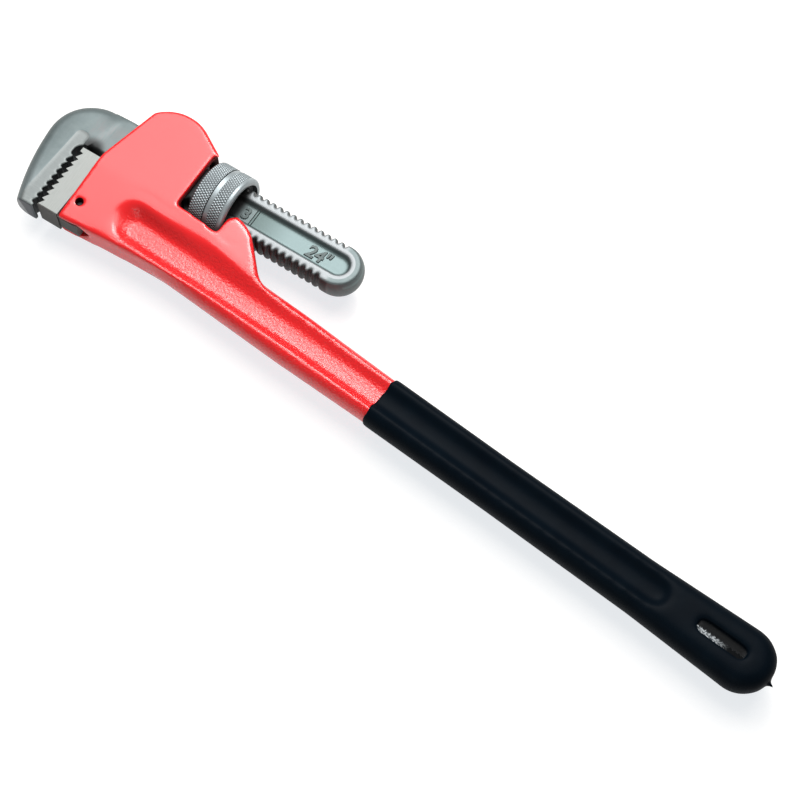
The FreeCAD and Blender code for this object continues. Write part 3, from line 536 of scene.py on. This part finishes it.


# ---- Hook jaw ----
# The forged steel hook with its long flat-sided shank. The forging keeps a grey-green phosphate
# skin; the tooth pad and the shank's raised rims are ground bright, and its thread is coloured
# darker.
pad_lean, pad_left, pad_right, pad_top, pad_corner = 0.0485, -104.1, -102.1, -12.5, 3.6
head_end, shank_end, rim_middle, rim_radius = -90 * mm, 97 * mm, 97 * mm, 11.2 * mm
throat_along, throat_across = -92 * mm, -17 * mm
cell_end, panel_half = 28.6 * mm, 12 * mm
skin_dark, skin_light = (0.065, 0.086, 0.088, 1), (0.118, 0.142, 0.142, 1)
tip_skin, neck_bright = (0.128, 0.15, 0.153, 1), (0.105, 0.114, 0.115, 1)
throat_shade, tooth_gap_shade = (0.01, 0.011, 0.011, 1), (0.012, 0.014, 0.014, 1)
cell_grey, panel_shade_end = (0.085, 0.108, 0.108, 1), (0.055, 0.08, 0.077, 1)
panel_back, thread_dark_colour = (0.112, 0.152, 0.152, 1), (0.035, 0.037, 0.037, 1)
pad_dark, pad_light = (0.10, 0.113, 0.113, 1), (0.165, 0.178, 0.174, 1)
tip_lit_face, tip_shadow = (0.19, 0.20, 0.21, 1), (0.035, 0.04, 0.05, 1)
rim_bright, shank_shade_black = (0.18, 0.192, 0.197, 1), (0.007, 0.007, 0.007, 1)


def outside_pad(node, x, y):
    """How far a place lies outside the tooth pad's outline, whose top corners are rounded."""
    lean = sums(node, "ADD", sums(node, "MULTIPLY", y, pad_lean), pad_left * mm)
    left = sums(node, "SUBTRACT", lean, x)
    right = sums(node, "SUBTRACT", x, pad_right * mm)
    side = either(node, left, right, 0.0)
    top = either(node, sums(node, "SUBTRACT", y, pad_top * mm), 0.0)
    return sums(node, "SUBTRACT", step_length(node, side, top), pad_corner * mm)


forged, node = new_material("forged_steel")
x, y, z = shank_place(node)
height = sums(node, "ABSOLUTE", z)
on_shank = rise(node, x, 0.0, 2 * mm)
on_head = fall(node, x, head_end - 2 * mm, head_end)

# The drop-forged skin, cloudy all over and lighter towards the hook's tip.
skin_colour = blend_colour(node, grain(node, 7 * mm, 4.0, 0.6), skin_dark, skin_light)
towards_tip = product(node, on_head, fall(node, y, -75 * mm, -28 * mm))
skin_colour = blend_colour(node, towards_tip, skin_colour, tip_skin)

# The sunk panel between the shank's rims: a small cell in front, then a long floor with painted
# shade next to the cell that clears towards the grip.
panel = product(node, on_shank, between(node, height, 4.5 * mm, 6.1 * mm, 0.3 * mm),
                between(node, y, -panel_half, panel_half, 0.5 * mm))
panel_colour = blend_colour(node, rise(node, x, 30 * mm, 62 * mm), panel_shade_end, panel_back)
panel_colour = blend_colour(node, rise(node, x, cell_end, cell_end + 0.4 * mm), cell_grey,
                            panel_colour)
skin_colour = blend_colour(node, panel, skin_colour, panel_colour)

# The thread, below the rims and outside the panel, is coloured darker.
thread_dark = product(node, on_shank, fall(node, height, 7.6 * mm, 8.8 * mm),
                      rise(node, sums(node, "ABSOLUTE", y), 12.2 * mm, 12.8 * mm),
                      fall(node, x, shank_end, shank_end + 2 * mm))
skin_colour = blend_colour(node, thread_dark, skin_colour, thread_dark_colour)

# The neck, rubbed bright in streaks where it enters the collar, and painted shade, near black, in
# the throat beside it.
neck = product(node, between(node, x, -98 * mm, -70 * mm, 7 * mm),
               between(node, y, -14 * mm, 3 * mm, 8 * mm),
               rise(node, scratches(node, 1, 0.8 * mm, 9 * mm), 0.42, 0.56))
off_throat = step_length(node, sums(node, "SUBTRACT", x, throat_along),
                         sums(node, "SUBTRACT", y, throat_across))
skin_colour = blend_colour(node, neck, skin_colour, neck_bright)
skin_colour = blend_colour(node, fall(node, off_throat, 4 * mm, 11 * mm), skin_colour,
                           throat_shade)

# The tip's end face: painted light in front, and a painted shadow behind an edge that leans with
# the height.
tip_face = product(node, fall(node, y, -74.3 * mm, -73.9 * mm), on_head)
leaning = sums(node, "ADD", x, sums(node, "MULTIPLY", z, 0.35))
tip_colour = blend_colour(node, rise(node, leaning, -108.5 * mm, -107.7 * mm), tip_lit_face,
                          tip_shadow)
skin_colour = blend_colour(node, tip_face, skin_colour, tip_colour)

# The ground faces: the tooth pad, with painted shade in black between its teeth, and the shank's
# rims.
pad = product(node, fall(node, outside_pad(node, x, y), -0.15 * mm, 0.15 * mm), on_head,
              rise(node, height, 8.9 * mm, 9.2 * mm))
ground = blend_colour(node, scratches(node, 0, 0.4 * mm, 7 * mm), pad_dark, pad_light)
colour = blend_colour(node, pad, skin_colour, ground)
teeth = product(node, between(node, x, -108 * mm, -94 * mm, 0.5 * mm),
                fall(node, height, 8.4 * mm, 8.9 * mm),
                between(node, y, -73.6 * mm, -10 * mm, 0.4 * mm))
colour = blend_colour(node, teeth, colour, tooth_gap_shade)
off_rim_middle = step_length(node, sums(node, "SUBTRACT", x, rim_middle), y)
past_rim = product(node, rise(node, x, 95 * mm, 99 * mm),
                   rise(node, off_rim_middle, rim_radius, rim_radius + 0.4 * mm))
rim = product(node, on_shank, rise(node, height, 8.7 * mm, 9.0 * mm),
              sums(node, "SUBTRACT", 1.0, past_rim))
colour = blend_colour(node, rim, colour, rim_bright)

# Painted shade, near black, on the stretch that works inside the collar and the nut.
shaded_stretch = product(node, rise(node, x, -46 * mm, -18 * mm), fall(node, x, 16 * mm, 22 * mm))
colour = blend_colour(node, shaded_stretch, colour, shank_shade_black)
forging = node("Bump", {"Height": grain(node, 1.4 * mm, 4.0, 0.6), "Strength": 0.4,
                        "Distance": 0.1 * mm})
shader = node("BsdfPrincipled", {"Base Color": colour, "Roughness": 0.5, "Metallic": 0.55,
                                 "Normal": forging.outputs[0]})
node("OutputMaterial", {"Surface": shader.outputs[0]})


def dome_head(piece):
    """Give the hook's flat head the crowned face of a drop forging.

    Away from the pad, a place's height sinks by up to 0.22 of itself, as the square of its
    distance from the pad's outline over 22 mm, and not at all on the shank.
    """
    crown, crown_reach = 0.22, 22
    along, across, out = points_of(piece).T
    left_of_pad = np.maximum(pad_lean * across + (pad_left - pad_corner) - along, 0)
    above_pad = np.maximum(across - (pad_top + pad_corner), 0)
    sunk = np.clip(np.hypot(left_of_pad, above_pad) / crown_reach, 0, 1) ** 2
    sunk *= crown * (1 - soft_step(along, -100, -80))
    move_points(piece, np.stack([along, across, out * (1 - sunk)], axis=1))


hook = merged_copy("hook_jaw", "forged_hook")
reskin(hook, voxel=0.7 * mm)
along, across, out = points_of(hook).T
at_neck = soft_step(along, -100, -97) * (1 - soft_step(along, -78, -72))
at_neck = at_neck * soft_step(np.abs(out), 8.5, 8.9) * soft_step(across, -15, -10)
dome_head(hook)
relax(hook, share=0.5, rounds=3)
relax(hook, share=0.5 * at_neck, rounds=30)
stand_in(hook, "hook_jaw", "hook_jaw", forged)


# ---- Size figures ----
# The forging die leaves plain raised figures on the shank's panel: the wrench's size in inches
# near its end, and a small die number in a cell that two thin ribs close off.
figure_dark, figure_light = (0.022, 0.03, 0.03, 1), (0.07, 0.09, 0.088, 1)
figure_side_shade = (0.02, 0.024, 0.024, 1)
figure_steel, node = new_material("figure_steel")
_, _, z = shank_place(node)
top = rise(node, sums(node, "ABSOLUTE", z), 5.75 * mm, 5.95 * mm)
wear_and_side_shade = blend_colour(node, grain(node, 2 * mm, 3.0), figure_dark, figure_light)
# Painted shade: the figures' sides are coloured darker than their worn tops.
wear_and_side_shade = blend_colour(node, top, figure_side_shade, wear_and_side_shade)
shader = node("BsdfPrincipled", {"Base Color": wear_and_side_shade, "Roughness": 0.5, "Metallic": 0.5})
node("OutputMaterial", {"Surface": shader.outputs[0]})


def raised_figure(name, text, left, low, tall, slant):
    """Raised characters on the upper panel: left and low are the first one's foot, in mm.

    The font's outline is drawn out into a solid with a small bevel, scaled to be tall mm high,
    and set on the panel.
    """
    panel_level, standing = 4.85, 1.2
    curve = bpy.data.curves.new(name, "FONT")
    curve.body, curve.size, curve.shear = text, 1.0, slant
    curve.extrude, curve.bevel_depth, curve.bevel_resolution = 0.04, 0.02, 1
    curve.offset = 0.012
    writer = add_object(name + "_writer", curve)
    bpy.context.view_layer.update()
    mesh = bpy.data.meshes.new_from_object(writer)
    bpy.data.objects.remove(writer)
    mesh.name = name
    points = np.empty((len(mesh.vertices), 3))
    mesh.vertices.foreach_get("co", points.ravel())
    points -= points.min(axis=0)
    points *= tall * mm / points[:, 1].max()
    points[:, 2] *= standing * mm / points[:, 2].max()
    points += axis + np.array([left, low, panel_level]) * mm
    mesh.vertices.foreach_set("co", points.ravel())
    mesh.update()
    mesh.materials.append(figure_steel)
    piece = add_object(name, mesh)
    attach(piece, "hook_jaw")


def raised_rib(name, place, half_length=6.9, width=0.7, arch=0.85):
    """A thin rib across the panel: its section is half an ellipse, carried straight across."""
    panel_level = 4.9
    turn = np.linspace(0, np.pi, 9)
    section = np.stack([place - np.cos(turn) * width / 2, 0 * turn,
                        panel_level + np.sin(turn) * arch], axis=1)
    ends = np.array([-half_length, half_length])
    points = section[None] + ends[:, None, None] * np.array([0, 1, 0])
    count = len(turn)
    here = np.arange(count - 1)
    sides = np.stack([here, here + 1, here + 1 + count, here + count], axis=1).tolist()
    front, back = list(range(count))[::-1], list(range(count, 2 * count))
    sole = [0, count, 2 * count - 1, count - 1]
    mesh = bpy.data.meshes.new(name)
    mesh.from_pydata((points.reshape(-1, 3) * mm + axis).tolist(), [],
                     sides + [front, back, sole])
    mesh.materials.append(figure_steel)
    rib = add_object(name, mesh)
    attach(rib, "hook_jaw")


raised_figure("size_figure", "24\"", left=72.5, low=-5.0, tall=10.0, slant=0.12)
raised_figure("die_figure", "3", left=20.8, low=-4.6, tall=9.0, slant=0.0)
raised_rib("die_cell_rib", place=28.6)
raised_rib("panel_rib", place=30.4)


# ---- Adjusting nut ----
# A turned steel nut with two bands of fine diamond knurling round a plain strip, a rounded rear
# rim, a counterbore, and inside it the coarse thread that drives the hook's shank.
nut_front, nut_back, nut_radius = -nut_front_reach, 17.3 * mm, 25.0 * mm
strip_front, strip_back, strip_radius = 1.9 * mm, 5.6 * mm, 24.5 * mm
strip_ease, groove_width, groove_radius = 0.1 * mm, 0.5 * mm, 23.9 * mm
back_plain, back_round, front_chamfer = 1.0 * mm, 2.2 * mm, 1.0 * mm
recess_floor, recess_radius, recess_ease = 13.3 * mm, 21.0 * mm, 0.3 * mm
face_radius, rim_inside, bore_mouth = 22 * mm, 21.4 * mm, 18.6 * mm
bore, thread_root, thread_pitch = 15.25 * mm, 17.85 * mm, 5.5 * mm
thread_start, thread_half, thread_slope = -20.0 * mm, 0.955 * mm, 0.5577
knurl_pitch, knurl_depth, rings_per_diamond = 3.2 * mm, 0.5 * mm, 10
diamonds, fine, coarse, bore_rings = 78, 624, 208, 92
fine_angle = np.arange(fine) * (2 * np.pi / fine)
coarse_angle = np.arange(coarse) * (2 * np.pi / coarse)


def ring_faces(rows, columns, start):
    """Quads between neighbouring rings of points, the rings closed on themselves."""
    here = np.arange(columns)
    after = (here + 1) % columns
    ring = start + columns * np.arange(rows - 1)[:, None]
    return np.stack([ring + here, ring + columns + here, ring + columns + after, ring + after],
                    axis=-1).reshape(-1, 4)


def joining_ring(fine_start, coarse_start, turn_over):
    """Six-cornered faces that join a fine ring to a coarse one, three fine edges to each."""
    step = np.arange(coarse)
    after = (step + 1) % coarse
    corners = np.stack([coarse_start + step, fine_start + 3 * step, fine_start + 3 * step + 1,
                        fine_start + 3 * step + 2, fine_start + 3 * after,
                        coarse_start + after], axis=-1)
    return corners[:, ::-1] if turn_over else corners


def turned(places, radii, columns):
    """Points of a turned surface: a ring for each place along the axis, radius per column.

    The point at angle a has y = r cos a and z = r sin a, so a runs from +Y towards +Z.
    """
    angle = np.arange(columns) * (2 * np.pi / columns)
    radii = np.broadcast_to(radii, (len(places), columns))
    along = np.broadcast_to(np.asarray(places)[:, None], radii.shape)
    return np.stack([along, radii * np.cos(angle), radii * np.sin(angle)], axis=-1)


def plain_rings(profile):
    """Rings of points for a plain stretch of the profile, given as (place, radius)."""
    places, radii = np.array(profile).T
    return turned(places, radii[:, None], fine)


def knurl(places):
    """Radius of a diamond knurl: two crossing families of V grooves, flat between them.

    Each groove's distance is a triangle wave of turns plus or minus length over pitch.
    """
    turns = fine_angle[None, :] * diamonds / (2 * np.pi)
    length = places[:, None] / knurl_pitch
    first = np.abs((turns + length) % 1 - 0.5) * 2
    second = np.abs((turns - length) % 1 - 0.5) * 2
    flat = np.clip(1.5 * (1 - np.maximum(first, second)), 0, 1)
    return nut_radius - knurl_depth * (1 - flat)


def knurled_band(start, end):
    """Rings of points for a knurled band, ten rings to each diamond."""
    places = np.arange(start, end, knurl_pitch / rings_per_diamond)
    return turned(places, knurl(places), fine)


def inner_thread(places):
    """Radius of the nut's coarse internal thread, a right-hand helix about the shank.

    The groove's centre moves on by one pitch a turn; its walls lean by a slope from its floor.
    """
    off = places[:, None] - thread_start - thread_pitch * coarse_angle[None, :] / (2 * np.pi)
    off = np.abs(off - thread_pitch * np.round(off / thread_pitch))
    return np.clip(thread_root - (off - thread_half) / thread_slope, bore, thread_root)


front_face = [(nut_front, bore_mouth), (nut_front, face_radius),
              (nut_front, nut_radius - front_chamfer)]
strip = [(strip_front, nut_radius - 0.4 * mm), (strip_front + strip_ease, groove_radius),
         (strip_front + groove_width, groove_radius),
         (strip_front + groove_width + strip_ease, strip_radius), (strip_back, strip_radius)]
corner = np.linspace(0, np.pi / 2, 7)
round_places = nut_back - back_round * (1 - np.sin(corner))
round_radii = nut_radius - back_round * (1 - np.cos(corner))
rear = [(round_places[0] - back_plain, nut_radius), *zip(round_places, round_radii),
        (nut_back, rim_inside), (nut_back - 0.25 * mm, recess_radius + 0.05 * mm),
        (recess_floor + recess_ease, recess_radius), (recess_floor, recess_radius - recess_ease),
        (recess_floor, bore_mouth)]
outside = np.concatenate([
    plain_rings(front_face), knurled_band(nut_front + front_chamfer, strip_front),
    plain_rings(strip), knurled_band(strip_back, nut_back - back_round - back_plain),
    plain_rings(rear)])
bore_places = np.linspace(recess_floor, nut_front, bore_rings)
inside_bore = turned(bore_places, inner_thread(bore_places), coarse)
nut_points = np.concatenate([outside.reshape(-1, 3), inside_bore.reshape(-1, 3)]) + axis
outside_rings, bore_start = len(outside), len(outside) * fine
bore_end = bore_start + coarse * (bore_rings - 1)
faces = np.concatenate([ring_faces(outside_rings, fine, 0),
                        ring_faces(bore_rings, coarse, bore_start)])
joins = np.concatenate([joining_ring((outside_rings - 1) * fine, bore_start, True),
                        joining_ring(0, bore_end, False)])
nut_mesh = bpy.data.meshes.new("knurled_nut")
nut_mesh.from_pydata(nut_points.tolist(), [], faces.tolist() + joins.tolist())
nut_mesh.polygons.foreach_set("use_smooth", np.ones(len(nut_mesh.polygons), dtype=bool))
nut_mesh.set_sharp_from_angle(angle=math.radians(50))

steel_dark, steel_light = (0.215, 0.245, 0.255, 1), (0.29, 0.325, 0.335, 1)
knurl_valley_shade, nut_recess_shade = (0.03, 0.033, 0.036, 1), (0.012, 0.013, 0.014, 1)
nut_steel, node = new_material("nut_steel")
x, y, z = shank_place(node)
radius = step_length(node, y, z)
crests = rise(node, radius, nut_radius - knurl_depth, nut_radius - 0.1 * mm)
on_strip = between(node, x, strip_front + groove_width + strip_ease, strip_back, 0.1 * mm)
at_rear = rise(node, x, 14.0 * mm, 14.2 * mm)
in_recess = fall(node, radius, recess_radius - 0.1 * mm, recess_radius + 0.3 * mm)
at_front = fall(node, x, -9.2 * mm, -8.9 * mm)
cloudy = blend_colour(node, grain(node, 6 * mm, 3.0), steel_dark, steel_light)
# Painted shade: the knurl's valleys are darker than its crests, the plain strip and the rear rim.
steel = blend_colour(node, either(node, crests, on_strip, at_rear), knurl_valley_shade, cloudy)
# Painted shade: the counterbore, the bore and the front face are near black.
steel = blend_colour(node, either(node, in_recess, at_front), steel, nut_recess_shade)
shader = node("BsdfPrincipled", {"Base Color": steel, "Roughness": 0.45, "Metallic": 0.6})
node("OutputMaterial", {"Surface": shader.outputs[0]})
nut = add_object("knurled_nut", nut_mesh)
stand_in(nut, "adjusting_nut", "adjusting_nut", nut_steel)
